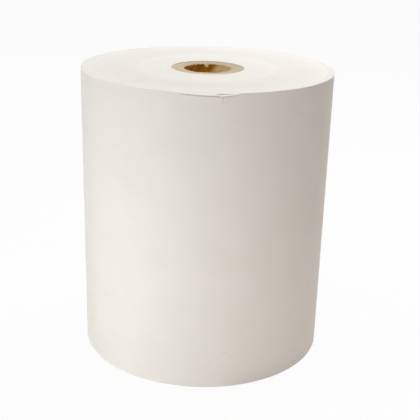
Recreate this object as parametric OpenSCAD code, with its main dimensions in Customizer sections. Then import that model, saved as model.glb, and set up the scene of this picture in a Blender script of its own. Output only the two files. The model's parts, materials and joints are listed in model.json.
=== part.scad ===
// Thermal receipt paper, 80 mm wide, wound on a cardboard core and standing on its end.
// The origin is on the roll's axis at the bottom end, +Z is up and -Y is the front.
// Directions round the roll are degrees from the front, and they grow towards the right.

/* [Paper] */
// Width of the paper strip, which is the height of every turn
paper_width = 80; // [57:0.5:90]
// Diameter over the outermost turn
roll_od = 69.2; // [56:0.2:84]
// Thickness of the paper, which is the step at the cut end of the strip
paper_thickness = 0.06; // [0.05:0.005:0.1]
// Direction of the cut end of the strip
tail_direction = 15; // [-180:1:180]

/* [Turns] */
// Width of a band of turns, over which the strip wandered one way while it was wound
band_width = 1; // [0.9:0.1:3]
// Furthest that the strip wandered sideways
band_wander = 0.1; // [0.05:0.05:0.6]
// Change of phase from one band to the next, in degrees
band_phase = 137.5; // [20:0.5:170]
// Radius of the one ridge of turns that stands highest
ridge_radius = 18; // [14:0.5:24]
// Depth of the innermost turns below the rim, because the middle of the roll was pushed down
dish = 0.25; // [0.1:0.05:1]

/* [Core] */
// Outside diameter of the cardboard core
core_od = 20; // [18:0.5:26]
// Inside diameter of the core, where a spindle goes
core_id = 13; // [9:0.5:14]
// Depth of the core's top end below the innermost turns
core_recess = 0.15; // [0.05:0.05:2]
// Radius of the largest tear in the inner edge of the core
tear_radius = 1.1; // [0.6:0.1:1.6]

/* [Bent lip] */
// Direction of the tip of the lip, where the rim was knocked outwards
lip_direction = 5.5; // [-90:0.5:90]
// Angle from the tip to the lip's left foot
lip_left = 20.5; // [10:0.5:40]
// Angle from the tip to the lip's right foot
lip_right = 8.5; // [5:0.5:30]
// Reach of the tip beyond the rim
lip_reach = 1.25; // [0.4:0.05:2.5]
// Depth of the lip's top edge below the rim
lip_drop = 0.35; // [0.1:0.05:1]
// Height of the bent stretch of paper
lip_height = 2.6; // [1.8:0.1:6]
// Height of the lip's crisp outer edge
lip_edge = 0.5; // [0.2:0.1:1]
// Width of the slit that opened between the lip and the turns behind it
lip_slit = 0.15; // [0.05:0.05:0.3]

/* [Dent] */
// Direction of the small dent low on the side
dent_direction = 10.5; // [-180:0.5:180]
// Height of the dent's middle above the bottom of the rim
dent_height = 10.3; // [5:0.1:50]
// Width of the dent
dent_width = 1.8; // [1:0.1:4]
// Depth of the dent
dent_depth = 0.12; // [0.05:0.01:0.3]

/* [Hidden] */
$fn = 180;
cut_margin = 1;

roll_radius = roll_od / 2;
core_radius = core_od / 2;
core_length = paper_width - core_recess;

// The roll stands on its core and innermost turns, and the rim starts this high
rim_base = dish;
rim_top = rim_base + paper_width;

// The last band ends in the cut tail, and the others share the room between it and the core
last_band = band_width;
last_band_radius = roll_radius - last_band;
band_count = floor((last_band_radius - core_radius) / band_width);
band_pitch = (last_band_radius - core_radius) / band_count;

// The lip grows out of the middle of the last band. Its feet and its lower edge lie one thickness of
// paper under the surface, so that its sides run into it
flank_steps = 5;
lip_root = last_band / 2;
lip_sink = paper_thickness;

// The slit is half as deep as the lip, and it opens near the tip only, where the lip stands out by
// more than this share of its reach
slit_depth = lip_height / 2;
slit_share = 0.6;

// Core tears: the direction of each, and its size as a share of the largest
core_tears = [[103, 0.5], [183, 1], [211, 0.35], [230, 0.45]];
// The ball that cuts a tear has its middle in the hole and above the end, by these shares of its radius
tear_inward = 0.35;
tear_lift = 0.15;

paper_colour = [0.91, 0.90, 0.87];
cardboard_colour = [0.76, 0.68, 0.56];

// A point at a radius and a direction, seen from above
function around(radius, direction) = [radius * sin(direction), -radius * cos(direction)];

function band_edge(n) = core_radius + n * band_pitch;

function is_ridge(n) = abs(band_edge(n) - ridge_radius) <= band_pitch / 2;

// Sideways drift of the strip at an edge between bands, which is none next to the core and the rim
function drift(n) =
    n == 0 || n == band_count ? 0
    : is_ridge(n) ? band_wander
    : band_wander * (1 + sin(n * band_phase)) / 2;

// Height at which an edge between bands starts. All turns are the same strip, so where they stand
// higher at the top they also start as much above the floor
function band_rise(n) = rim_base * n / band_count + drift(n);

// The section of the rippled end at one edge of the strip, from the core to past the level last band
function rippled_end(height) = concat(
    [for (n = [0 : band_count]) [band_edge(n), height + band_rise(n)]],
    [[roll_radius + cut_margin, height + rim_base]]
);

function reversed(points) = [for (i = [len(points) - 1 : -1 : 0]) points[i]];

// How far the lip stands out at a direction, as a share of its reach: straight flanks to one tip
function lip_share(direction) =
    direction < lip_direction
        ? 1 - (lip_direction - direction) / lip_left
        : 1 - (direction - lip_direction) / lip_right;

lip_directions = concat(
    [for (i = [0 : flank_steps - 1]) lip_direction - lip_left * (1 - i / flank_steps)],
    [for (i = [0 : flank_steps]) lip_direction + lip_right * i / flank_steps]
);

// Outline of the paper from above: two half circles that leave one thickness of paper at the tail
module wound_outline() {
    half_step = paper_thickness / 2;
    rotate(tail_direction) {
        intersection() {
            circle(r = roll_radius);
            translate([-roll_od, -roll_od]) square([roll_od, 2 * roll_od]);
        }
        translate([0, half_step]) intersection() {
            circle(r = roll_radius - half_step);
            translate([0, -roll_od]) square([roll_od, 2 * roll_od]);
        }
    }
}

// All turns of the strip: the outline from above, kept between the two rippled ends
module turns() {
    intersection() {
        translate([0, 0, -cut_margin]) linear_extrude(rim_top + 2 * cut_margin) wound_outline();
        rotate_extrude() polygon(concat(rippled_end(0), reversed(rippled_end(paper_width))));
    }
}

// Top view of the lip at a share of its reach, closed inside the roll
module lip_outline(share) {
    rise = share * (lip_reach + lip_sink);
    outer = [for (a = lip_directions) around(roll_radius - lip_sink + rise * lip_share(a), a)];
    inner = [for (a = lip_directions) around(roll_radius - lip_root, a)];
    polygon(concat(outer, reversed(inner)));
}

// The slit between the lip and the turns behind it, as a ring cut by a wedge round the tip
module slit() {
    left_end = lip_direction - lip_left * (1 - slit_share);
    right_end = lip_direction + lip_right * (1 - slit_share);
    translate([0, 0, rim_top - lip_drop - slit_depth])
        linear_extrude(slit_depth + cut_margin) intersection() {
            circle(r = roll_radius + lip_slit);
            polygon([[0, 0], around(roll_od, left_end), around(roll_od, right_end)]);
        }
}

// The outermost turns bent out over the rim
module lip() {
    difference() {
        hull() {
            translate([0, 0, rim_top - lip_drop - lip_edge])
                linear_extrude(lip_edge) lip_outline(1);
            translate([0, 0, rim_top - lip_drop - lip_height])
                linear_extrude(lip_edge) lip_outline(0);
        }
        slit();
    }
}

// A shallow dish: the cap of a ball that reaches the dent's depth under the surface
module dent() {
    ball_radius = (pow(dent_width / 2, 2) + pow(dent_depth, 2)) / (2 * dent_depth);
    rotate([0, 0, dent_direction])
        translate([0, -(roll_radius + ball_radius - dent_depth), rim_base + dent_height])
            sphere(r = ball_radius);
}

module paper_roll() {
    color(paper_colour) difference() {
        union() {
            turns();
            lip();
        }
        dent();
    }
}

// Torn bites in the inner edge of the core's top end
module tears() {
    for (tear = core_tears) {
        bite = tear_radius * tear[1];
        place = around(core_id / 2 - tear_inward * bite, tear[0]);
        translate([place[0], place[1], core_length + tear_lift * bite]) sphere(r = bite);
    }
}

module core() {
    color(cardboard_colour) difference() {
        cylinder(d = core_od, h = core_length);
        translate([0, 0, -cut_margin])
            cylinder(d = core_id, h = core_length + 2 * cut_margin);
        tears();
    }
}

paper_roll();
core();
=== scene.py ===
"""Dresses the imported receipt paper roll: wound thermal paper on a spiral-wound cardboard core.

The roll stands on its end, with its axis on the frame's Z axis. Directions round it are counted
from the front, -Y, and grow towards the right, +X. Sizes are in metres unless a name says mm.
"""

import json
import logging
import math
from dataclasses import dataclass, field
from enum import Enum

import bpy
import numpy as np
from bpy.types import ColorRamp, Material, Mesh, Node, NodeSocket, NodeTree, Object
from mathutils import Matrix, Vector


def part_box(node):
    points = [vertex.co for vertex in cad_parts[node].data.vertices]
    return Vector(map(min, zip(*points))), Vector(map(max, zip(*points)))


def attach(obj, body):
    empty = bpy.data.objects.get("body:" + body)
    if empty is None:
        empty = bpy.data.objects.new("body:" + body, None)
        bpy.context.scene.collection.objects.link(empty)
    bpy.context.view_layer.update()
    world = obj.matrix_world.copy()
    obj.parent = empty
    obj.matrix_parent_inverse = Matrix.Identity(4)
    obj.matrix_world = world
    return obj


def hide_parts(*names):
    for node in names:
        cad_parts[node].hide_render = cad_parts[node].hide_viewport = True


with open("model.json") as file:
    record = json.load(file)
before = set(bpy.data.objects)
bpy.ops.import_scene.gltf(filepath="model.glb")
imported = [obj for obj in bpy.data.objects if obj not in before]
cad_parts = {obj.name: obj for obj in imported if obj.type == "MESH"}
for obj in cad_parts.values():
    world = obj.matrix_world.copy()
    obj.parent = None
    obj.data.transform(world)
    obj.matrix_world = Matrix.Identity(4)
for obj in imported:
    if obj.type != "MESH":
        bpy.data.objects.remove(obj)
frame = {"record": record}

MM = 0.001
CORE_RECESS = 0.15 * MM
DISH = 0.25 * MM
MATH = "ShaderNodeMath"
VECTOR_MATH = "ShaderNodeVectorMath"
NOISE = "ShaderNodeTexNoise"
MAP_RANGE = "ShaderNodeMapRange"
MIX = "ShaderNodeMix"
BUMP = "ShaderNodeBump"
MERGE_DISTANCE = 0.001 * MM

log = logging.getLogger("receipt_roll")


def linear(hex_colour: str) -> tuple[float, float, float, float]:
    """Turns an sRGB hex colour into linear RGBA.

    Args:
        hex_colour: six hex digits after a hash sign.

    Returns:
        Red, green, blue and an alpha of 1.
    """
    shares = [int(hex_colour[i : i + 2], 16) / 255 for i in (1, 3, 5)]
    red, green, blue = (s / 12.92 if s <= 0.04045 else ((s + 0.055) / 1.055) ** 2.4 for s in shares)
    return (red, green, blue, 1.0)


def add_node(
    tree: NodeTree, kind: str, links: dict[str | int, object] | None = None, **settings: object
) -> Node:
    """Adds a node with its settings, and joins or sets its inputs.

    Args:
        tree: the node tree to add to.
        kind: the node's type name.
        links: input name or number to a value, a socket, or a node whose first output is meant.
        **settings: attributes of the node, set before its inputs.

    Returns:
        The new node.
    """
    node = tree.nodes.new(kind)
    for name, value in settings.items():
        setattr(node, name, value)
    for name, source in (links or {}).items():
        if isinstance(source, Node):
            source = source.outputs[0]
        if isinstance(source, NodeSocket):
            tree.links.new(source, node.inputs[name])
        else:
            node.inputs[name].default_value = source
    return node


def new_material(name: str) -> tuple[Material, NodeTree, Node]:
    """Makes an empty material with a Principled shader on its output.

    Args:
        name: the material's name.

    Returns:
        The material, its node tree and the Principled node.
    """
    material = bpy.data.materials.new(name)
    material.use_nodes = True
    tree = material.node_tree
    tree.nodes.clear()
    shader = add_node(tree, "ShaderNodeBsdfPrincipled")
    add_node(tree, "ShaderNodeOutputMaterial", {"Surface": shader})
    return material, tree, shader


def finish_shader(
    shader: Node, colour: Node, bump: Node, roughness: float, specular: float
) -> None:
    """Joins a Principled shader to its colour and relief, and sets its shine.

    Args:
        shader: the Principled node.
        colour: the mix whose colour it takes.
        bump: the node whose normal it takes.
        roughness: how dull the surface is.
        specular: how strongly the surface reflects, as its IOR level.
    """
    links = shader.id_data.links
    links.new(colour.outputs[2], shader.inputs["Base Color"])
    links.new(bump.outputs["Normal"], shader.inputs["Normal"])
    shader.inputs["Roughness"].default_value = roughness
    shader.inputs["Specular IOR Level"].default_value = specular


def from_axis(tree: NodeTree, place: NodeSocket) -> NodeSocket:
    """Adds the distance of each place from the roll's axis to a material's tree."""
    flat = add_node(tree, VECTOR_MATH, {0: place, 1: (1, 1, 0)}, operation="MULTIPLY")
    return add_node(tree, VECTOR_MATH, {0: flat}, operation="LENGTH").outputs["Value"]


def seen_directly(tree: NodeTree) -> tuple[Node, Node]:
    """Adds the kinds of ray that see a surface, and the share of camera and mirror rays."""
    seen = add_node(tree, "ShaderNodeLightPath")
    rays = {0: seen.outputs["Is Camera Ray"], 1: seen.outputs["Is Glossy Ray"]}
    return seen, add_node(tree, MATH, rays, operation="MAXIMUM")


def new_object(name: str, mesh: Mesh) -> Object:
    """Links a mesh into the scene as an object at the origin."""
    piece = bpy.data.objects.new(name, mesh)
    bpy.context.scene.collection.objects.link(piece)
    return piece


def bake(piece: Object) -> None:
    """Replaces a piece's mesh by what its modifiers make of it, and removes them.

    Args:
        piece: the object whose modifiers are made permanent.
    """
    depsgraph = bpy.context.evaluated_depsgraph_get()
    plain = piece.data
    baked = bpy.data.meshes.new_from_object(piece.evaluated_get(depsgraph), depsgraph=depsgraph)
    piece.modifiers.clear()
    piece.data = baked
    bpy.data.meshes.remove(plain)


def read_points(mesh: Mesh) -> np.ndarray:
    """Reads a mesh's vertices as an array of rows of three."""
    flat = np.empty(len(mesh.vertices) * 3)
    mesh.vertices.foreach_get("co", flat)
    return flat.reshape(-1, 3)


def write_points(mesh: Mesh, points: np.ndarray) -> None:
    """Writes an array of rows of three back as a mesh's vertices."""
    mesh.vertices.foreach_set("co", points.ravel())
    mesh.update()


def crisp_corners(piece: Object, angle: float = 40.0) -> None:
    """Keeps a piece's corners crisp where its faces turn by more than an angle in degrees."""
    piece.data.polygons.foreach_set("use_smooth", np.ones(len(piece.data.polygons), dtype=bool))
    piece.data.set_sharp_from_angle(angle=math.radians(angle))


def directions(points: np.ndarray) -> np.ndarray:
    """Gives each point's direction round the roll, in degrees from the front."""
    return np.degrees(np.arctan2(points[:, 0], -points[:, 1]))


def push_out(points: np.ndarray, distance: np.ndarray) -> np.ndarray:
    """Moves points straight away from the roll's axis.

    Args:
        points: rows of three.
        distance: how far each point moves.

    Returns:
        The moved points.
    """
    scale = 1 + distance / np.hypot(points[:, 0], points[:, 1])
    return points * np.stack([scale, scale, np.ones_like(scale)], axis=-1)


def smooth_step(share: np.ndarray) -> np.ndarray:
    """Eases a share from 0 to 1, and holds it there outside that range."""
    held = np.clip(share, 0, 1)
    return held * held * (3 - 2 * held)


def ripple(phase: np.ndarray, seed: int, waves: int = 6) -> np.ndarray:
    """Adds a few sine waves of uneven lengths, as a smooth uneven line that closes on itself.

    Args:
        phase: angles in radians, over which the line closes.
        seed: fixes the waves' phases and heights.
        waves: how many waves are added.

    Returns:
        Values of about -1 to 1.
    """
    chance = np.random.default_rng(seed)
    total = np.zeros_like(phase)
    for wave in range(1, waves + 1):
        total += chance.uniform(0.4, 1) * np.sin(wave * phase + chance.uniform(0, math.tau))
    return total / math.sqrt(waves)


class End(Enum):
    """The two ends of the roll, by the share of the strip's width where each one lies."""

    BOTTOM = 0
    TOP = 1


@dataclass(frozen=True)
class ThermalPaper:
    """The outer face of thermal paper: a coated, calendered sheet.

    The coating gives an even off-white with a faint warm cloudiness, and a soft sheen that is
    wider than a gloss. The sheet's fibres show only as a very fine mottle.
    """

    colour: str = "#EDEAE3"
    cloud_colour: str = "#EAE7DF"
    cloud_mm: float = 9.0
    mottle_mm: float = 0.45
    fibre_mm: float = 0.12
    relief_mm: float = 0.006
    roughness: float = 0.62
    sheen_level: float = 0.3

    def material(self) -> Material:
        """Builds the material of the wound paper's outside."""
        material, tree, shader = new_material("coated thermal paper")
        place = add_node(tree, "ShaderNodeTexCoord").outputs["Object"]
        cloud = add_node(
            tree, NOISE, {"Vector": place, "Scale": 1 / (self.cloud_mm * MM), "Detail": 3.0, "Roughness": 0.6}
        )
        mottle = add_node(tree, NOISE, {"Vector": place, "Scale": 1 / (self.mottle_mm * MM), "Detail": 2.0})
        blend = add_node(tree, MATH, {0: mottle, 1: 0.35, 2: cloud}, operation="MULTIPLY_ADD")
        share = add_node(tree, MAP_RANGE, {"Value": blend, "From Min": 0.45, "From Max": 0.9})
        colour = add_node(
            tree,
            MIX,
            {"Factor": share, 6: linear(self.cloud_colour), 7: linear(self.colour)},
            data_type="RGBA",
        )
        fibre = add_node(tree, NOISE, {"Vector": place, "Scale": 1 / (self.fibre_mm * MM), "Detail": 2.0})
        bump = add_node(tree, BUMP, {"Height": fibre, "Strength": 0.35, "Distance": self.relief_mm * MM})
        finish_shader(shader, colour, bump, self.roughness, self.sheen_level)
        return material


@dataclass(frozen=True)
class CutPaperEdge:
    """The slit edges of the wound strip, seen as the roll's two ends.

    Hundreds of cut edges lie side by side, so the end is dull and shows fine rings. A turn is
    0.06 mm thick, which is too fine to show, so the rings are drawn as groups of turns. Broad
    bands are cleaner or greyer, each tone being a radius in mm and a share of the bright colour.
    """

    bright_colour: str = "#F2EFE9"
    grey_colour: str = "#E6E3DE"
    ring_mm: float = 0.5
    dust_mm: float = 0.25
    relief_mm: float = 0.03
    roughness: float = 0.85
    outer_mm: float = 34.6
    tones: tuple[tuple[float, float], ...] = (
        (10.0, 0.5),
        (16.6, 0.55),
        (18.0, 0.75),
        (19.6, 0.5),
        (23.0, 0.35),
        (27.0, 0.4),
        (30.0, 0.6),
        (32.0, 0.8),
        (34.6, 0.8),
    )

    def material(self) -> Material:
        """Builds the material of the roll's ends, whose rings follow the distance from its axis."""
        material, tree, shader = new_material("slit edges of wound paper")
        place = add_node(tree, "ShaderNodeTexCoord").outputs["Object"]
        radius = from_axis(tree, place)
        rings = add_node(
            tree,
            NOISE,
            {"W": radius, "Scale": 1 / (self.ring_mm * MM), "Detail": 3.0, "Roughness": 0.7},
            noise_dimensions="1D",
        )
        dust = add_node(tree, NOISE, {"Vector": place, "Scale": 1 / (self.dust_mm * MM), "Detail": 2.0})
        grain = add_node(tree, MATH, {0: dust, 1: 0.3, 2: rings}, operation="MULTIPLY_ADD")
        fine = add_node(
            tree,
            MAP_RANGE,
            {"Value": grain, "From Min": 0.4, "From Max": 0.9, "To Min": -0.25, "To Max": 0.25},
        )
        reach = add_node(tree, MATH, {0: radius, 1: self.outer_mm * MM}, operation="DIVIDE")
        tone = add_node(tree, "ShaderNodeValToRGB", {"Fac": reach})
        self.set_tones(tone.color_ramp)
        share = add_node(tree, MATH, {0: tone.outputs["Color"], 1: fine}, operation="ADD", use_clamp=True)
        colour = add_node(
            tree,
            MIX,
            {"Factor": share, 6: linear(self.grey_colour), 7: linear(self.bright_colour)},
            data_type="RGBA",
        )
        bump = add_node(tree, BUMP, {"Height": grain, "Strength": 0.5, "Distance": self.relief_mm * MM})
        finish_shader(shader, colour, bump, self.roughness, 0.2)
        return material

    def set_tones(self, ramp: ColorRamp) -> None:
        """Puts the bands' tones on a ramp that runs from the axis to the rim.

        Args:
            ramp: a new ramp, whose two ends become the first and the last tone.
        """
        stops = [(radius_mm / self.outer_mm, (level, level, level, 1.0)) for radius_mm, level in self.tones]
        first, *middle, last = stops
        for place, grey in middle:
            ramp.elements.new(place).color = grey
        for element, (place, grey) in ((ramp.elements[0], first), (ramp.elements[-1], last)):
            element.position = place
            element.color = grey


@dataclass(frozen=True)
class CoreBoard:
    """Spiral-wound chipboard: recycled grey-brown plies, stuck with glue and cut to length.

    The cut end shows its plies as faint rings and short fibres. The wall inside is a smoother
    tan liner, partly lightened as painted light, which a helical butt joint crosses. From one
    side of the joint, half of each turn of the liner is a deep golden brown of painted shade.
    """

    end_colour: str = "#D6C8AC"
    end_dark: str = "#BEAC8C"
    torn_colour: str = "#EBD9B4"
    torn_dark: str = "#CDB688"
    # The darker tone that the board takes towards the rear right.
    darker_rear_colour: str = "#B5A78E"
    # The liner's tan is lighter than bare kraft: partly its own colour, partly painted light for the lit side
    # of the bore.
    liner_colour: str = "#F5E0B2"
    liner_dark: str = "#E2C68E"
    # Painted shade: a deep golden brown over half of each helical turn of the liner, for the shaded side of
    # the bore.
    painted_shade_colour: str = "#D4962A"
    painted_shade_dark: str = "#94620E"
    painted_shade_share: float = 0.5
    ply_mm: float = 0.7
    fibre_mm: float = 0.35
    mottle_mm: float = 1.1
    # The joint's pitch and start place the edges of the painted shade on the liner.
    joint_pitch_mm: float = 50.0
    joint_start: float = 0.23
    joint_mm: float = 2.0
    roughness: float = 0.9

    def board_material(self, name: str, light: str, dark: str, darker_rear_share: float) -> Material:
        """Builds the material of bare chipboard.

        Args:
            name: the real material.
            light: sRGB hex of its lightest fibres.
            dark: sRGB hex of its darkest fibres.
            darker_rear_share: how far the board darkens towards the rear right.

        Returns:
            The material.
        """
        material, tree, shader = new_material(name)
        place = add_node(tree, "ShaderNodeTexCoord").outputs["Object"]
        radius = from_axis(tree, place)
        plies = add_node(
            tree, NOISE, {"W": radius, "Scale": 1 / (self.ply_mm * MM), "Detail": 2.0}, noise_dimensions="1D"
        )
        fibres = add_node(
            tree, NOISE, {"Vector": place, "Scale": 1 / (self.fibre_mm * MM), "Detail": 4.0, "Roughness": 0.7}
        )
        share = add_node(tree, MATH, {0: plies, 1: 0.6, 2: fibres}, operation="MULTIPLY_ADD")
        fine = add_node(tree, MAP_RANGE, {"Value": share, "From Min": 0.5, "From Max": 1.1})
        colour = add_node(tree, MIX, {"Factor": fine, 6: linear(dark), 7: linear(light)}, data_type="RGBA")
        # The board darkens towards the rear right, from 6 mm before the axis to 8 mm past it.
        aside = add_node(tree, VECTOR_MATH, {0: place, 1: (0.6, 0.8, 0)}, operation="DOT_PRODUCT")
        towards_darker_rear = add_node(
            tree,
            MAP_RANGE,
            {
                "Value": aside.outputs["Value"],
                "From Min": -6 * MM,
                "From Max": 8 * MM,
                "To Max": darker_rear_share,
            },
        )
        darkened_rear = add_node(
            tree,
            MIX,
            {"Factor": towards_darker_rear, 6: colour.outputs[2], 7: linear(self.darker_rear_colour)},
            data_type="RGBA",
        )
        bump = add_node(tree, BUMP, {"Height": share, "Strength": 0.6, "Distance": 0.08 * MM})
        finish_shader(shader, darkened_rear, bump, self.roughness, 0.2)
        return material

    def materials(self) -> list[Material]:
        """Builds the three finishes: the liner, the cut ends and the torn plies."""
        cut = self.board_material("cut chipboard core end", self.end_colour, self.end_dark, 0.65)
        torn = self.board_material("torn inner plies", self.torn_colour, self.torn_dark, 0.0)
        return [self.liner_material(), cut, torn]

    def liner_material(self) -> Material:
        """Builds the material of the core's walls, with the joint of the innermost ply and the painted shade
        over half of each helical turn.
        """
        material, tree, shader = new_material("brown liner ply of the core")
        place = add_node(tree, "ShaderNodeTexCoord").outputs["Object"]
        split = add_node(tree, "ShaderNodeSeparateXYZ", {0: place})
        turn = add_node(tree, MATH, {0: split.outputs["Y"], 1: split.outputs["X"]}, operation="ARCTAN2")
        turned = add_node(
            tree, MATH, {0: turn, 1: 1 / math.tau, 2: self.joint_start}, operation="MULTIPLY_ADD"
        )
        climb = add_node(
            tree,
            MATH,
            {0: split.outputs["Z"], 1: 1 / (self.joint_pitch_mm * MM), 2: turned},
            operation="MULTIPLY_ADD",
        )
        fibres = add_node(
            tree,
            NOISE,
            {"Vector": place, "Scale": 1 / (self.mottle_mm * MM), "Detail": 5.0, "Roughness": 0.7},
        )
        wavy = add_node(tree, MATH, {0: fibres, 1: 0.03, 2: climb}, operation="MULTIPLY_ADD")
        past_joint = add_node(tree, MATH, {0: wavy}, operation="FRACT")
        joint_share = self.joint_mm / self.joint_pitch_mm
        # From the joint the painted shade rises over the joint's width, holds for a share of the turn and
        # then fades out.
        shade_rise = add_node(tree, MAP_RANGE, {"Value": past_joint, "From Min": 0.0, "From Max": joint_share})
        shade_fall = add_node(
            tree,
            MAP_RANGE,
            {"Value": past_joint, "From Min": self.painted_shade_share, "From Max": self.painted_shade_share + 0.1},
        )
        painted_shade = add_node(tree, MATH, {0: shade_rise, 1: shade_fall}, operation="SUBTRACT")
        shade = add_node(tree, MATH, {0: painted_shade, 1: -0.1, 2: fibres}, operation="MULTIPLY_ADD")
        fine = add_node(tree, MAP_RANGE, {"Value": fibres, "From Min": 0.35, "From Max": 0.65})
        # The tan mix is the liner, partly painted light, and the brown mix is its painted shade.
        colours = ((self.liner_dark, self.liner_colour), (self.painted_shade_dark, self.painted_shade_colour))
        tan, brown = (
            add_node(tree, MIX, {"Factor": fine, 6: linear(dark), 7: linear(light)}, data_type="RGBA")
            for dark, light in colours
        )
        colour = add_node(
            tree, MIX, {"Factor": painted_shade, 6: tan.outputs[2], 7: brown.outputs[2]}, data_type="RGBA"
        )
        bump = add_node(tree, BUMP, {"Height": shade, "Strength": 0.5, "Distance": 0.06 * MM})
        finish_shader(shader, colour, bump, self.roughness, 0.25)
        return material


class RingTree:
    """A Geometry Nodes tree that bends flat grids into rings round the roll's axis.

    Along a grid's X the sheet goes once round from the tail, and its columns are crowded near the
    tail, where the small damage is. Along its Y it goes outwards or upwards.
    """

    def __init__(self, name: str, sizes: dict[str, float]) -> None:
        """Starts a tree with one named input for each size.

        Args:
            name: the tree's name.
            sizes: input name to value, in metres, radians or counts.
        """
        self.tree = bpy.data.node_groups.new(name, "GeometryNodeTree")
        self.sizes = sizes
        self.identifiers = {}
        self.tree.interface.new_socket("Geometry", in_out="OUTPUT", socket_type="NodeSocketGeometry")
        for size, value in sizes.items():
            kind = "NodeSocketInt" if isinstance(value, int) else "NodeSocketFloat"
            socket = self.tree.interface.new_socket(size, in_out="INPUT", socket_type=kind)
            self.identifiers[size] = socket.identifier
        self.given = add_node(self.tree, "NodeGroupInput").outputs
        self.sheets = []
        self.columns = add_node(self.tree, MATH, {0: self.given["Columns"], 1: 1.0}, operation="ADD")
        self._find_place()

    def _find_place(self) -> None:
        """Works out each point's share round and across its grid, and its angle."""
        place = add_node(self.tree, "GeometryNodeInputPosition")
        shares = add_node(self.tree, VECTOR_MATH, {0: place, 1: (0.5, 0.5, 0)}, operation="ADD")
        split = add_node(self.tree, "ShaderNodeSeparateXYZ", {0: shares})
        self.round_share = split.outputs["X"]
        self.across_share = split.outputs["Y"]
        even = add_node(self.tree, MATH, {0: self.round_share, 1: math.tau}, operation="MULTIPLY")
        wave = add_node(self.tree, MATH, {0: even}, operation="SINE")
        pull = add_node(self.tree, MATH, {0: wave, 1: self.given["Crowding"]}, operation="MULTIPLY")
        crowded = add_node(self.tree, MATH, {0: even, 1: pull}, operation="SUBTRACT")
        turned = add_node(self.tree, MATH, {0: crowded, 1: self.given["Tail"]}, operation="ADD")
        self.angle = add_node(self.tree, MATH, {0: turned, 1: math.pi / 2}, operation="SUBTRACT")

    def upward(self, low: float, high: float) -> Node:
        """Adds a node that gives each point's height on a sheet between two heights."""
        return add_node(
            self.tree, MATH, {0: self.across_share, 1: high - low, 2: low}, operation="MULTIPLY_ADD"
        )

    def sheet(
        self,
        rows: int | NodeSocket,
        radius: Node | NodeSocket,
        height: Node | NodeSocket,
        material: Material,
        flip: bool = False,
    ) -> None:
        """Adds one sheet to the piece.

        Args:
            rows: how many points the grid has across.
            radius: node or socket of each point's distance from the axis.
            height: node or socket of each point's height.
            material: the sheet's finish.
            flip: True where the sheet's face would point into the piece.
        """
        grid = add_node(
            self.tree,
            "GeometryNodeMeshGrid",
            {"Size X": 1.0, "Size Y": 1.0, "Vertices X": self.columns, "Vertices Y": rows},
        )
        arm = add_node(self.tree, "ShaderNodeCombineXYZ", {"X": radius, "Z": height})
        spun = add_node(
            self.tree, "ShaderNodeVectorRotate", {"Vector": arm, "Angle": self.angle}, rotation_type="Z_AXIS"
        )
        bent = add_node(self.tree, "GeometryNodeSetPosition", {"Geometry": grid, "Position": spun})
        if flip:
            bent = add_node(self.tree, "GeometryNodeFlipFaces", {"Mesh": bent})
        self.sheets.append(
            add_node(self.tree, "GeometryNodeSetMaterial", {"Geometry": bent, "Material": material})
        )

    def build(self, name: str) -> Object:
        """Joins the sheets into one closed piece and bakes it.

        Args:
            name: the new object's name.

        Returns:
            The object, with a plain mesh and no modifiers.
        """
        joined = add_node(self.tree, "GeometryNodeJoinGeometry")
        for sheet in self.sheets:
            self.tree.links.new(sheet.outputs[0], joined.inputs[0])
        merged = add_node(
            self.tree, "GeometryNodeMergeByDistance", {"Geometry": joined, "Distance": MERGE_DISTANCE}
        )
        smooth = add_node(self.tree, "GeometryNodeSetShadeSmooth", {"Geometry": merged})
        real = add_node(self.tree, "GeometryNodeRealizeInstances", {"Geometry": smooth})
        add_node(self.tree, "NodeGroupOutput", {0: real})
        piece = new_object(name, bpy.data.meshes.new(name))
        modifier = piece.modifiers.new("rings", "NODES")
        modifier.node_group = self.tree
        for size, value in self.sizes.items():
            modifier[self.identifiers[size]] = value
        bake(piece)
        crisp_corners(piece)
        return piece


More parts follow.
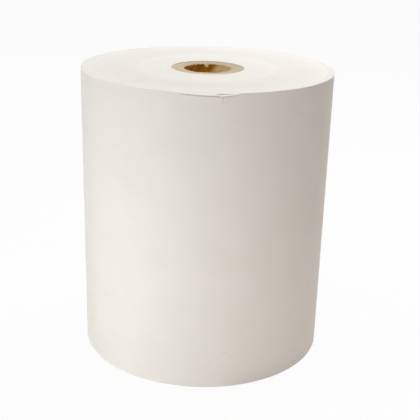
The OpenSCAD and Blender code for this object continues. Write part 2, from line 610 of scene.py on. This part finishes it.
@dataclass(frozen=True)
class Lip:
    """The stretch of the rim that was knocked outwards: it rises in straight flanks to one tip.

    It is folded sharply, so its edge stays level and it overhangs the side. The turns behind it
    fanned out with it, all but a short slit behind the tip, and the paper creased beside the tip.
    """

    direction: float = 5.6
    left: float = 19.5
    right: float = 7.9
    flank_power: float = 0.65
    reach: float = 1.22 * MM
    drop: float = 0.4 * MM
    height: float = 0.42 * MM
    least_height: float = 0.1 * MM
    nick: float = 0.28 * MM
    nick_width: float = 0.6
    curl: float = 0.5
    fan: float = 2.4 * MM
    slit: float = 1.1 * MM
    step: float = 0.42
    slit_span: tuple[float, float, float, float] = (2.4, 4.6, 7.4, 12.0)
    crease_pitch: float = 0.45 * MM
    crease_height: float = 2.8 * MM
    crease_end: float = 0.9 * MM
    crease_power: float = 0.9
    crease_span: tuple[float, float] = (5.9, 11.2)
    crease_onset: float = 0.12
    crease_past: float = 1.15
    crease_fall: float = 0.35
    groove_depth: float = 0.33 * MM
    groove_full: float = 0.7
    groove_base: float = 1.0 * MM
    groove_least: float = 0.36 * MM
    groove_edge: float = 0.06 * MM

    def share(self, direction: np.ndarray) -> np.ndarray:
        """Gives the share of the full reach at each direction."""
        left = 1 - (self.direction - direction) / self.left
        right = 1 - (direction - self.direction) / self.right
        return np.clip(np.minimum(left, right), 0, 1) ** self.flank_power

    def bend(self, points: np.ndarray, rim: float) -> np.ndarray:
        """Bends the loose turns near the rim outwards.

        Args:
            points: the loose turns' points.
            rim: height of the straight rim.

        Returns:
            The moved points.
        """
        share = self.share(directions(points))
        return push_out(points, self.reach * share * self.folded(points, rim) ** self.curl)

    def folded(self, points: np.ndarray, rim: float) -> np.ndarray:
        """Gives how far up the fold each point lies, which is taller where the lip reaches further.

        Args:
            points: any points near the rim, before the lip is pressed down.
            rim: height of the straight rim.

        Returns:
            0 at the foot of the fold and below it, and 1 at its edge.
        """
        height = np.maximum(self.height * self.share(directions(points)), self.least_height)
        return np.clip(1 - (rim - points[:, 2]) / height, 0, 1)

    def crease(self, points: np.ndarray, rim: float) -> np.ndarray:
        """Gives the depth of the upright creases, which are deepest nearest to the tip.

        Args:
            points: the loose turns' points.
            rim: height of the straight rim.

        Returns:
            How far each point is drawn in.
        """
        start, end = self.crease_span
        along = (directions(points) - start) / (end - start)
        strength = smooth_step(along / self.crease_onset) * smooth_step(self.crease_past - along)
        strength *= 1 - self.crease_fall * np.clip(along, 0, 1)
        arc = np.radians(directions(points) - start) * np.hypot(points[:, 0], points[:, 1])
        fold = (0.5 - 0.5 * np.cos(math.tau * arc / self.crease_pitch)) ** self.crease_power
        lowest = self.crease_height - self.crease_end * np.clip(along, 0, 1)
        fade = smooth_step((lowest - (rim - points[:, 2])) / self.crease_end)
        return self.groove_depth * strength * fold * fade

    def tuck_in(self, points: np.ndarray, rim: float) -> np.ndarray:
        """Draws the face in under the lip, where the outermost turns were crushed and creased.

        Args:
            points: the points of the loose turns' outer face, before the lip is pressed down.
            rim: height of the straight rim.

        Returns:
            The moved points.
        """
        share = self.share(directions(points))
        base = self.groove_least + (self.groove_base - self.groove_least) * share
        beside = smooth_step((base - (rim - points[:, 2])) / self.groove_edge)
        groove = self.groove_depth * smooth_step(share / self.groove_full) * beside
        under_fold = self.folded(points, rim) == 0
        return push_out(points, -np.maximum(groove, self.crease(points, rim)) * under_fold)

    def press_down(self, points: np.ndarray, rim: float) -> np.ndarray:
        """Presses the bent edge of the loose turns down.

        Args:
            points: the points after the bend.
            rim: height of the straight rim.

        Returns:
            The moved points.
        """
        direction = directions(points)
        tip = smooth_step(1 - np.abs(direction - self.direction) / self.nick_width)
        drop = self.drop * self.share(direction) + self.nick * tip
        moved = points.copy()
        moved[:, 2] -= drop * self.folded(points, rim)
        return moved

    def fan_out(self, points: np.ndarray, rim: float, outer: float) -> np.ndarray:
        """Moves the tight turns behind the lip outwards with it, and leaves the slit.

        Args:
            points: the tight turns' points.
            rim: height of the straight rim.
            outer: the tight turns' outer radius.

        Returns:
            The moved points.
        """
        direction = directions(points)
        start, full, fall, end = self.slit_span
        opening = smooth_step((direction - start) / (full - start))
        opening *= smooth_step((end - direction) / (end - fall))
        radius = np.hypot(points[:, 0], points[:, 1])
        behind = smooth_step(1 - (outer - radius) / self.fan)
        up = self.folded(points, rim)
        reach = np.clip(self.reach * self.share(direction) - self.slit * opening, 0, None)
        moved = push_out(points, reach * behind * up**self.curl)
        drop = self.drop * self.share(direction) * (1 - self.step * opening)
        moved[:, 2] -= drop * behind * up
        return moved


@dataclass(frozen=True)
class Dent:
    """The small slanting dent low on the side."""

    direction: float = 11.0
    height: float = 10.6 * MM
    length: float = 2.0 * MM
    width: float = 0.55 * MM
    depth: float = 0.22 * MM
    slant: float = 20.0
    spread: float = 1.2
    room: float = 0.9 * MM

    def press(self, points: np.ndarray, base: float) -> np.ndarray:
        """Presses the points under the dent inwards.

        Args:
            points: the loose turns' points.
            base: height at which the rim starts.

        Returns:
            The moved points.
        """
        radius = np.hypot(points[:, 0], points[:, 1])
        across = np.radians(directions(points) - self.direction) * radius
        upward = points[:, 2] - base - self.height
        slant = math.radians(self.slant)
        along = across * math.cos(slant) + upward * math.sin(slant)
        aside = upward * math.cos(slant) - across * math.sin(slant)
        far = np.hypot(along / (self.length / 2), aside / (self.width / 2))
        return push_out(points, -self.depth * smooth_step(self.spread - far))


@dataclass
class WoundPaper:
    """The strip of thermal paper: its tight turns, and the last few turns, which are looser.

    The middle of the roll was pushed down, so the roll stands on its innermost turns, and the rim
    starts higher by the depth of the dish.
    """

    radius: float
    core_radius: float
    width: float
    dish: float
    paper: float = 0.06 * MM
    tail: float = 15.0
    loose: float = 0.35 * MM
    hairline: float = 0.04 * MM
    turn_pitch: float = 0.5 * MM
    wander: float = 0.06 * MM
    wander_per_turn: float = 0.85
    level_band: float = 1.0 * MM
    ridge_radius: float = 18.0 * MM
    ridge_width: float = 1.2 * MM
    tight_columns: int = 320
    loose_columns: int = 480
    crowding: float = 0.8
    unevenness: float = 0.05 * MM
    lip: Lip = field(default_factory=Lip)
    dent: Dent = field(default_factory=Dent)
    face: ThermalPaper = field(default_factory=ThermalPaper)
    edge: CutPaperEdge = field(default_factory=CutPaperEdge)

    def build(self) -> list[Object]:
        """Builds both parts of the strip.

        Returns:
            The tight turns and the loose turns.
        """
        face = self.face.material()
        edge = self.edge.material()
        return [self.build_tight_turns(face, edge), self.build_loose_turns(face, edge)]

    @property
    def rim(self) -> float:
        """Height of the rim's top."""
        return self.dish + self.width

    def common_sizes(self, columns: int) -> dict[str, float]:
        """Gives the inputs that both trees share."""
        return {"Columns": columns, "Crowding": self.crowding, "Tail": math.radians(self.tail)}

    def build_tight_turns(self, face: Material, edge: Material) -> Object:
        """Builds the tight turns, whose edges run in one spiral over each end.

        Args:
            face: the finish of the paper's face.
            edge: the finish of its cut edge.

        Returns:
            The closed piece.
        """
        outer = self.radius - self.loose - self.paper - self.hairline
        turns = math.ceil((outer - self.core_radius) / self.turn_pitch)
        sizes = self.common_sizes(self.tight_columns) | {
            "Core Radius": self.core_radius,
            "Outer Radius": outer,
            "Width": self.width,
            "Dish": self.dish,
            "Turn Pitch": self.turn_pitch,
            "Wander": self.wander,
            "Level Band": self.level_band,
            "Ridge Radius": self.ridge_radius,
            "Ridge Width": self.ridge_width,
            "End Rows": 2 * (turns + 3),
        }
        rings = RingTree("tight turns", sizes)
        given = rings.given
        radius, rise = self.spiral(rings)
        for end in End:
            height = add_node(
                rings.tree, MATH, {0: given["Width"], 1: float(end.value), 2: rise}, operation="MULTIPLY_ADD"
            )
            rings.sheet(given["End Rows"], radius, height, edge, flip=end is End.TOP)
        bent_from = self.rim - self.lip.height
        for low, high, rows in ((self.dish, bent_from, 2), (bent_from, self.rim, 12)):
            rings.sheet(rows, given["Outer Radius"], rings.upward(low, high), face)
        rings.sheet(2, given["Core Radius"], rings.upward(0.0, self.width), face, flip=True)
        piece = rings.build("wound_paper")
        write_points(piece.data, self.lip.fan_out(read_points(piece.data), self.rim, outer))
        return piece

    def spiral(self, rings: RingTree) -> tuple[NodeSocket, NodeSocket]:
        """Adds the rule of the spiral: where each turn's edge lies, and how far it wandered.

        A row pair is one turn, and the strip's place in the winding grows by one turn each time
        round, so the end of a turn meets the start of the next.

        Args:
            rings: the tree to add the rule to.

        Returns:
            Sockets for the distance from the axis and for the rise above the rim.
        """
        tree, given = rings.tree, rings.given
        core, outer = given["Core Radius"], given["Outer Radius"]
        last_row = add_node(tree, MATH, {0: given["End Rows"], 1: 1.0}, operation="SUBTRACT")
        row = add_node(tree, MATH, {0: rings.across_share, 1: last_row}, operation="MULTIPLY")
        whole_row = add_node(tree, MATH, {0: row}, operation="ROUND")
        half = add_node(tree, MATH, {0: whole_row, 1: 0.5}, operation="MULTIPLY")
        turn = add_node(tree, MATH, {0: half}, operation="FLOOR")
        second_edge = add_node(tree, MATH, {0: half}, operation="FRACT")
        strip = add_node(tree, MATH, {0: turn, 1: rings.round_share}, operation="ADD")
        wound = add_node(tree, MATH, {0: strip, 1: 2.0}, operation="SUBTRACT")
        edge_place = add_node(tree, MATH, {0: second_edge, 1: 1.6, 2: wound}, operation="MULTIPLY_ADD")
        edge_offset = add_node(tree, MATH, {0: edge_place, 1: 0.1}, operation="ADD")
        outward = add_node(
            tree, MATH, {0: edge_offset, 1: given["Turn Pitch"], 2: core}, operation="MULTIPLY_ADD"
        )
        radius = add_node(tree, "ShaderNodeClamp", {"Value": outward, "Min": core, "Max": outer})
        noise = add_node(
            tree, NOISE, {"W": wound, "Scale": self.wander_per_turn, "Detail": 2.0}, noise_dimensions="1D"
        )
        drift = add_node(
            tree, MAP_RANGE, {"Value": noise, "From Min": 0.3, "From Max": 0.7, "To Max": given["Wander"]}
        )
        from_ridge = add_node(tree, MATH, {0: radius, 1: given["Ridge Radius"]}, operation="SUBTRACT")
        gap = add_node(tree, MATH, {0: from_ridge}, operation="ABSOLUTE")
        ridge = add_node(
            tree,
            MAP_RANGE,
            {"Value": gap, "From Max": given["Ridge Width"], "To Min": given["Wander"], "To Max": 0.0},
            interpolation_type="SMOOTHSTEP",
        )
        drawn = add_node(tree, MATH, {0: drift, 1: ridge}, operation="MAXIMUM")
        from_core = add_node(tree, MATH, {0: radius, 1: core}, operation="SUBTRACT")
        from_rim = add_node(tree, MATH, {0: outer, 1: radius}, operation="SUBTRACT")
        nearest = add_node(tree, MATH, {0: from_core, 1: from_rim}, operation="MINIMUM")
        level = add_node(tree, MAP_RANGE, {"Value": nearest, "From Max": given["Level Band"]})
        own_rise = add_node(tree, MATH, {0: drawn, 1: level}, operation="MULTIPLY")
        dished = add_node(
            tree, MAP_RANGE, {"Value": radius, "From Min": core, "From Max": outer, "To Max": given["Dish"]}
        )
        rise = add_node(tree, MATH, {0: own_rise, 1: dished}, operation="ADD")
        return radius.outputs[0], rise.outputs[0]

    def build_loose_turns(self, face: Material, edge: Material) -> Object:
        """Builds the last turns, which end in the cut tail and carry the lip and the dent.

        Their sheet is laid as a spiral that gains one thickness of paper on its way round. It is
        dented and bent, given its thickness inwards, and creased under the lip.

        Args:
            face: the finish of the paper's face.
            edge: the finish of its cut edge.

        Returns:
            The closed piece.
        """
        sizes = self.common_sizes(self.loose_columns) | {"Outer Radius": self.radius, "Paper": self.paper}
        rings = RingTree("loose turns", sizes)
        given = rings.given
        inner = add_node(
            rings.tree, MATH, {0: given["Outer Radius"], 1: given["Paper"]}, operation="SUBTRACT"
        )
        radius = add_node(
            rings.tree, MATH, {0: rings.round_share, 1: given["Paper"], 2: inner}, operation="MULTIPLY_ADD"
        )
        dent_low = self.dish + self.dent.height - self.dent.room
        dent_high = self.dish + self.dent.height + self.dent.room
        creased_from = self.rim - self.lip.crease_height
        tucked_from = self.rim - self.lip.groove_base
        stretches = (
            (self.dish, dent_low, 4),
            (dent_low, dent_high, 26),
            (dent_high, creased_from, 8),
            (creased_from, tucked_from, 12),
            (tucked_from, self.rim, 24),
        )
        for low, high, rows in stretches:
            rings.sheet(rows, radius, rings.upward(low, high), face)
        piece = rings.build("loose_turns")
        points = self.dent.press(self.unwind(read_points(piece.data)), self.dish)
        write_points(piece.data, self.lip.bend(points, self.rim))
        outside = len(points)
        piece.data.materials.append(edge)
        wall = piece.modifiers.new("wall", "SOLIDIFY")
        wall.thickness = self.loose
        wall.offset = -1
        wall.use_rim = True
        wall.material_offset_rim = 1
        bake(piece)
        points = read_points(piece.data)
        points[outside : 2 * outside] = push_out(points[:outside], np.full(outside, -self.loose))
        points[:outside] = self.lip.tuck_in(points[:outside], self.rim)
        write_points(piece.data, self.lip.press_down(points, self.rim))
        crisp_corners(piece)
        return piece

    def unwind(self, points: np.ndarray) -> np.ndarray:
        """Draws the loose turns in a little, unevenly round the roll and along it.

        Args:
            points: the points of the perfect spiral.

        Returns:
            The moved points.
        """
        angle = np.radians(directions(points))
        along = points[:, 2] / self.width
        slack = 0.5 + 0.3 * ripple(angle, 4) + 0.2 * ripple(angle + 1.7 * along, 9, waves=9)
        return push_out(points, -self.unevenness * np.clip(slack, 0, 1))


@dataclass(frozen=True)
class Tear:
    """A place where the liner ply tore away below the core's top edge."""

    direction: float
    width: float
    depth: float
    pointed: float = 1.0

    def limit(self, direction: np.ndarray, radius: float) -> np.ndarray:
        """Gives how far down the tear reaches at each direction.

        Args:
            direction: degrees from the front.
            radius: the bore's radius.

        Returns:
            The tear's depth, which is below zero beside the tear.
        """
        off = (direction - self.direction + 180) % 360 - 180
        across = np.abs(np.radians(off)) * radius / (self.width / 2)
        ragged = 0.12 * ripple(np.radians(direction) * 11, int(self.direction))
        return self.depth * (1 - across**self.pointed + ragged * (across < 1))


@dataclass
class CardboardCore:
    """The spiral-wound core: plies stuck with glue, cut ends and a torn liner at the top."""

    outer_radius: float
    inner_radius: float
    length: float
    plies: int = 5
    rows_per_ply: int = 5
    columns: int = 360
    ply_step: float = 0.05 * MM
    tear_slope: float = 0.85
    torn_width: float = 1.6 * MM
    torn_stretch: float = 1.5 * MM
    burr: float = 0.12 * MM
    tears: tuple[Tear, ...] = (
        Tear(183, 2.1 * MM, 1.05 * MM),
        Tear(199, 0.7 * MM, 0.4 * MM),
        Tear(211, 0.8 * MM, 0.5 * MM),
        Tear(221, 0.7 * MM, 0.4 * MM),
        Tear(230, 1.0 * MM, 0.55 * MM, 1.6),
        Tear(240, 0.7 * MM, 0.45 * MM),
        Tear(252, 0.8 * MM, 0.4 * MM),
        Tear(103, 1.4 * MM, 0.8 * MM, 2.0),
        Tear(88, 0.5 * MM, 0.4 * MM),
        Tear(340, 0.9 * MM, 0.25 * MM),
    )
    board: CoreBoard = field(default_factory=CoreBoard)

    def section(self) -> tuple[np.ndarray, np.ndarray]:
        """Lays out the wall's section as one closed line, from the bottom end inwards.

        Returns:
            The radius and height of each point. The rows run out over the bottom end, in over the
            top end and down the bore.
        """
        rows = self.plies * self.rows_per_ply
        outward = np.linspace(self.inner_radius, self.outer_radius, rows + 1)
        torn = self.length - np.linspace(0, self.torn_stretch, 22)[1:]
        lower = np.linspace(torn[-1], 0, 14)[1:-1]
        inside = np.concatenate([torn, lower])
        radius = np.concatenate([outward, outward[::-1], np.full(len(inside), self.inner_radius)])
        height = np.concatenate([np.zeros(rows + 1), np.full(rows + 1, self.length), inside])
        return radius, height

    def tear_depth(self, points: np.ndarray) -> np.ndarray:
        """Gives how far down the liner is torn at each point's direction, or below zero."""
        direction = directions(points)
        return np.max([tear.limit(direction, self.inner_radius) for tear in self.tears], axis=0)

    def build(self) -> list[Object]:
        """Builds the core with its worn top end.

        Returns:
            The core alone, in a list.
        """
        radius, height = self.section()
        count = len(radius)
        angle = np.linspace(0, math.tau, self.columns, endpoint=False)
        turn, row = np.meshgrid(np.arange(self.columns), np.arange(count), indexing="ij")
        ring = radius[row]
        points = np.stack(
            [ring * np.sin(angle[turn]), -ring * np.cos(angle[turn]), height[row]], axis=-1
        ).reshape(-1, 3)
        next_turn, next_row = (turn + 1) % self.columns, (row + 1) % count
        corners = [(turn, row), (next_turn, row), (next_turn, next_row), (turn, next_row)]
        faces = np.stack([t * count + r for t, r in corners], axis=-1).reshape(-1, 4)
        mesh = bpy.data.meshes.new("cardboard_core")
        mesh.from_pydata(points.tolist(), [], faces.tolist())
        for material in self.board.materials():
            mesh.materials.append(material)
        mesh.polygons.foreach_set("material_index", self.finishes(points, faces))
        write_points(mesh, self.wear(points))
        piece = new_object("cardboard_core", mesh)
        crisp_corners(piece)
        return [piece]

    def finishes(self, points: np.ndarray, faces: np.ndarray) -> np.ndarray:
        """Chooses each face's finish: the liner, the cut ends, or the torn plies.

        Args:
            points: the plain core's points.
            faces: the four point numbers of each face.

        Returns:
            0 for the liner, 1 for the cut ends and 2 for the torn plies, one for each face.
        """
        middle = points[faces].mean(axis=1)
        low, high = points[faces, 2].min(axis=1), points[faces, 2].max(axis=1)
        flat = high - low < 0.001 * MM
        on_bore = np.hypot(middle[:, 0], middle[:, 1]) < self.inner_radius * 1.01
        torn = on_bore & (self.length - middle[:, 2] < self.tear_depth(middle))
        return (flat + 2 * torn).astype(np.int32)

    def wear(self, points: np.ndarray) -> np.ndarray:
        """Steps the plies of the top end a little, and slopes the bore's wall outwards where it is torn.

        Args:
            points: the plain core's points.

        Returns:
            The moved points.
        """
        angle = np.radians(directions(points))
        radius = np.hypot(points[:, 0], points[:, 1])
        below = self.length - points[:, 2]
        torn = np.clip(self.tear_depth(points) - below, 0, None) * self.tear_slope
        near_bore = np.clip(1 - (radius - self.inner_radius) / self.torn_width, 0, 1)
        moved = push_out(points, torn * near_bore)
        at_top = below < 0.001 * MM
        ply_width = (self.outer_radius - self.inner_radius) / self.plies
        ply = np.clip(np.floor((radius - self.inner_radius) / ply_width), 0, self.plies - 1)
        inside = (radius > self.inner_radius * 1.001) & (radius < self.outer_radius * 0.999)
        sink = self.ply_step * inside * (0.5 + 0.5 * np.sin(2.3 * ply + 0.6 * ripple(angle, 21)))
        frayed = self.burr * near_bore * np.clip(0.5 + 0.6 * ripple(angle * 7, 55), 0, 1)
        moved[:, 2] -= at_top * (sink + frayed)
        return moved


@dataclass(frozen=True)
class Lamp:
    """One soft rectangular lamp, which looks at the middle of the roll."""

    name: str
    place: tuple[float, float, float]
    width: float
    height: float
    power: float
    colour: str = "#FFFFFF"

    def build(self, target: Vector) -> None:
        """Places the lamp and turns it to the target.

        Args:
            target: the point that the lamp looks at.
        """
        light = bpy.data.lights.new(self.name, "AREA")
        light.shape = "RECTANGLE"
        light.size = self.width
        light.size_y = self.height
        light.energy = self.power
        light.color = linear(self.colour)[:3]
        lamp = bpy.data.objects.new(self.name, light)
        lamp.location = self.place
        lamp.rotation_euler = (Vector(self.place) - target).to_track_quat("Z", "Y").to_euler()
        lamp.visible_camera = False
        bpy.context.scene.collection.objects.link(lamp)


@dataclass
class Studio:
    """The white sweep that the roll stands on, and the soft lamps around it.

    Soft boxes shine from the left, from the front and from behind, and a small one hangs overhead.
    Two low cards near the roll give back the light of the white ground.
    """

    middle: Vector
    floor_size: float = 5.0
    floor_colour: str = "#F2F2F0"
    floor_white_share: float = 0.93
    world_colour: str = "#FFFFFF"
    world_strength: float = 0.1
    lamps: tuple[Lamp, ...] = (
        Lamp("left", (-1.039, 0, 0.64), 0.4, 0.4, 2.9),
        Lamp("front", (-0.269, -1.004, 0.64), 0.7, 0.7, 2.95),
        Lamp("overhead", (0, 0, 0.55), 0.3, 0.3, 0.54),
        Lamp("rear_right", (0.12, 0.16, 0.32), 0.15, 0.15, 0.57),
        Lamp("rear", (0, 0.98, 0.73), 0.7, 0.7, 1.7),
        Lamp("far_right", (0.75, 0.63, 0.73), 0.7, 0.7, 0.5, "#FFDCC8"),
        Lamp("low_left", (-0.088, -0.12, 0.012), 0.16, 0.02, 0.064),
        Lamp("low_right", (0.115, -0.097, 0.012), 0.16, 0.02, 0.016, "#FFC8B8"),
    )

    def build(self) -> None:
        """Builds the floor, the lamps and the world."""
        self.build_floor()
        for lamp in self.lamps:
            lamp.build(self.middle)
        self.build_world()

    def build_floor(self) -> Object:
        """Builds the pale floor, which the camera sees as nearly white and which keeps shadows."""
        half = self.floor_size / 2
        mesh = bpy.data.meshes.new("floor")
        corners = [(-half, -half, 0), (half, -half, 0), (half, half, 0), (-half, half, 0)]
        mesh.from_pydata(corners, [], [(0, 1, 2, 3)])
        material, tree, shader = new_material("matte white sweep")
        shader.inputs["Base Color"].default_value = linear(self.floor_colour)
        shader.inputs["Roughness"].default_value = 0.9
        seen, direct = seen_directly(tree)
        seen_at_all = add_node(
            tree, MATH, {0: direct, 1: seen.outputs["Is Transmission Ray"]}, operation="MAXIMUM"
        )
        share = add_node(tree, MATH, {0: seen_at_all, 1: self.floor_white_share}, operation="MULTIPLY")
        white = add_node(tree, "ShaderNodeEmission", {"Color": (1, 1, 1, 1), "Strength": 1.0})
        mixed = add_node(tree, "ShaderNodeMixShader", {0: share, 1: shader, 2: white})
        output = tree.nodes["Material Output"]
        tree.links.new(mixed.outputs[0], output.inputs["Surface"])
        mesh.materials.append(material)
        return new_object("floor", mesh)

    def build_world(self) -> None:
        """Builds the even fill light, which the camera sees as white."""
        world = bpy.data.worlds.new("white studio")
        world.use_nodes = True
        tree = world.node_tree
        tree.nodes.clear()
        fill = add_node(
            tree,
            "ShaderNodeBackground",
            {"Color": linear(self.world_colour), "Strength": self.world_strength},
        )
        white = add_node(tree, "ShaderNodeBackground", {"Color": (1, 1, 1, 1), "Strength": 1.0})
        direct = seen_directly(tree)[1]
        mixed = add_node(tree, "ShaderNodeMixShader", {0: direct, 1: fill, 2: white})
        add_node(tree, "ShaderNodeOutputWorld", {"Surface": mixed})
        bpy.context.scene.world = world


@dataclass
class PhotoCamera:
    """The camera of the photograph: in front of the roll, above its top end, and looking down."""

    distance: float = 227.5 * MM
    height: float = 121.95 * MM
    look_down: float = 20.19
    look_right: float = 0.435
    roll: float = 1.616
    lens_mm: float = 71.14
    sensor_mm: float = 36.0

    def build(self) -> None:
        """Places the camera and makes it the scene's own."""
        data = bpy.data.cameras.new("photo_camera")
        data.lens = self.lens_mm
        data.sensor_width = self.sensor_mm
        data.clip_start = 0.01
        camera = bpy.data.objects.new("photo_camera", data)
        pitch = Matrix.Rotation(math.radians(90 - self.look_down), 4, "X")
        yaw = Matrix.Rotation(-math.radians(self.look_right), 4, "Z")
        tilt = Matrix.Rotation(math.radians(self.roll), 4, "Z")
        stand = Matrix.Translation((0, -self.distance, self.height))
        camera.matrix_world = stand @ yaw @ pitch @ tilt
        bpy.context.scene.collection.objects.link(camera)
        bpy.context.scene.camera = camera


def dress(pieces: list[Object], node: str) -> None:
    """Lets pieces stand for a node of the frame.

    Args:
        pieces: the finished pieces.
        node: the node that they replace.
    """
    for piece in pieces:
        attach(piece, "root")
        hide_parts(node)
        log.info("%s stands for %s with %d faces", piece.name, node, len(piece.data.polygons))


def main() -> None:
    """Builds the roll's pieces, the studio and the camera, and keeps the sizes."""
    logging.basicConfig(level=logging.INFO, format="%(name)s: %(message)s")
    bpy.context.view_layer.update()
    view = bpy.context.scene.view_settings
    view.view_transform = "Standard"
    paper_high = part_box("paper_roll")[1]
    core_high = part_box("core")[1]
    bore = next(m for m in frame["record"]["mounts"] if m["name"] == "core_bore")
    core = CardboardCore(outer_radius=core_high.x, inner_radius=bore["dims"]["r_mm"] * MM, length=core_high.z)
    paper = WoundPaper(
        radius=paper_high.y, core_radius=core_high.x, width=core_high.z + CORE_RECESS, dish=DISH
    )
    dress(paper.build(), "paper_roll")
    dress(core.build(), "core")
    Studio(middle=Vector((0, 0, paper.width / 2))).build()
    PhotoCamera().build()


if __name__ == "__main__":
    main()
